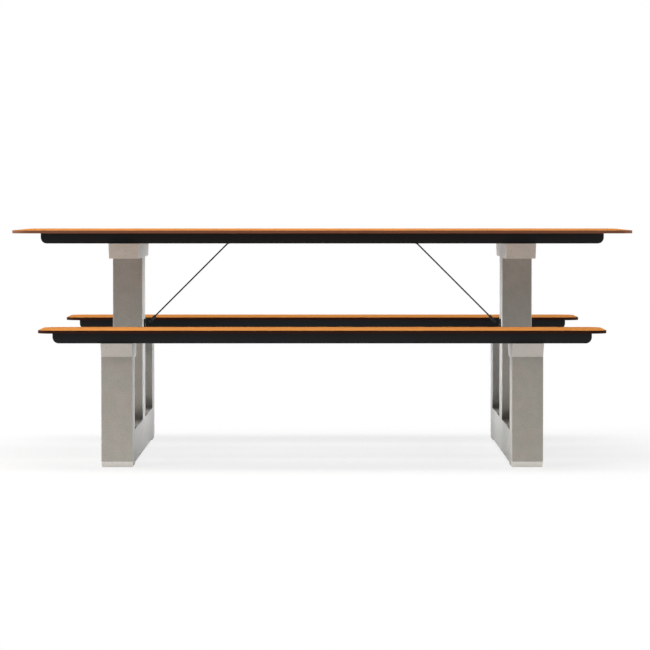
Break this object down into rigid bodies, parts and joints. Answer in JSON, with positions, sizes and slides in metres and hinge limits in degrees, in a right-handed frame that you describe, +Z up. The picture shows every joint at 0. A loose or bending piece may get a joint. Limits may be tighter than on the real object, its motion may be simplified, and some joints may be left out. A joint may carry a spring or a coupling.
{
  "type": "table with integrated benches",
  "caption": "Long table with a bench along each side: thin round-cornered boards on dark steel rails, carried by cast leg frames with T-shaped heads and braced by slanting tie rods.",
  "frame": {"origin": "on the floor under the middle of the table top", "axes": "+X along the table, -Y towards the front bench, +Z up"},
  "size_m": [2.042, 1.511, 0.754],
  "materials": {
    "panel_laminate": "satin wood-grain laminate board with a dark brown core at the edges",
    "frame_steel": "charcoal powder coat, fine texture",
    "cast_concrete": "smooth cast concrete, finely mottled",
    "rod_steel": "near-black painted round bar",
    "fastener_steel": "zinc-plated steel"
  },
  "bodies": {
    "root": {"bench_frame_bolts": "fastener_steel", "bench_frame_inserts": "fastener_steel", "bench_frame_washers": "fastener_steel", "front_bench_front_rail": "frame_steel", "front_bench_left_channel": "frame_steel", "front_bench_left_end_bar": "frame_steel", "front_bench_rear_rail": "frame_steel", "front_bench_right_channel": "frame_steel", "front_bench_right_end_bar": "frame_steel", "front_bench_top": "panel_laminate", "front_bench_top_screws": "fastener_steel", "left_leg_frame": "cast_concrete", "left_rod_bracket": "frame_steel", "left_rod_hanger": "frame_steel", "left_tie_rod": "rod_steel", "rear_bench_front_rail": "frame_steel", "rear_bench_left_channel": "frame_steel", "rear_bench_left_end_bar": "frame_steel", "rear_bench_rear_rail": "frame_steel", "rear_bench_right_channel": "frame_steel", "rear_bench_right_end_bar": "frame_steel", "rear_bench_top": "panel_laminate", "rear_bench_top_screws": "fastener_steel", "right_leg_frame": "cast_concrete", "right_rod_bracket": "frame_steel", "right_rod_hanger": "frame_steel", "right_tie_rod": "rod_steel", "rod_bracket_bolts": "fastener_steel", "rod_bracket_inserts": "fastener_steel", "rod_pins": "fastener_steel", "table_frame_bolts": "fastener_steel", "table_frame_inserts": "fastener_steel", "table_frame_washers": "fastener_steel", "table_front_rail": "frame_steel", "table_left_channel": "frame_steel", "table_left_end_bar": "frame_steel", "table_left_rod_bar": "frame_steel", "table_rear_rail": "frame_steel", "table_right_channel": "frame_steel", "table_right_end_bar": "frame_steel", "table_right_rod_bar": "frame_steel", "table_top": "panel_laminate", "table_top_screws": "fastener_steel"}
  },
  "joints": []
}
